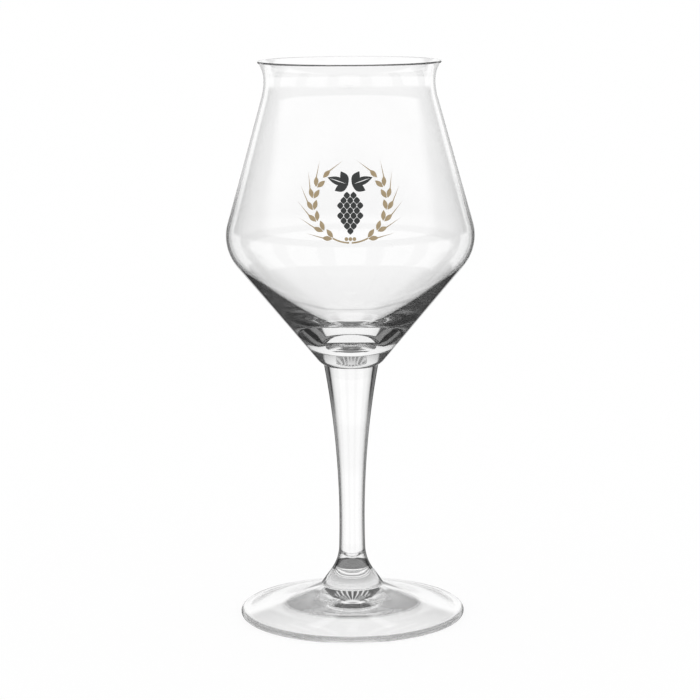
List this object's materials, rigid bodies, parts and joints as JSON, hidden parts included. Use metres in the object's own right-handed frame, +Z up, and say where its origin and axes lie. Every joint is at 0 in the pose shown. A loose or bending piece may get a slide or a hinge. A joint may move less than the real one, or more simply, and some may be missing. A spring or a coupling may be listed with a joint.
{
  "type": "tulip beer glass",
  "caption": "Clear stemmed tulip beer glass with a flared lip, angular belly, drawn stem and round foot, with a barley and hop print on the front.",
  "frame": {"origin": "on the table, under the centre of the foot", "axes": "+Z up along the axis of the glass, -Y out of the front that carries the print, +X to the right seen from the front"},
  "size_m": [0.084, 0.084, 0.19],
  "materials": {
    "clear_glass": "fire-polished clear soda-lime crystal",
    "charcoal_ink": "fired ceramic ink, satin",
    "tan_ink": "fired ceramic ink, satin"
  },
  "bodies": {
    "root": {"bowl": "clear_glass", "stem": "clear_glass", "foot": "clear_glass", "print_hop_cone": "charcoal_ink", "print_hop_leaves": "charcoal_ink", "print_left_barley": "tan_ink", "print_right_barley": "tan_ink", "print_berries": "tan_ink"}
  },
  "joints": []
}
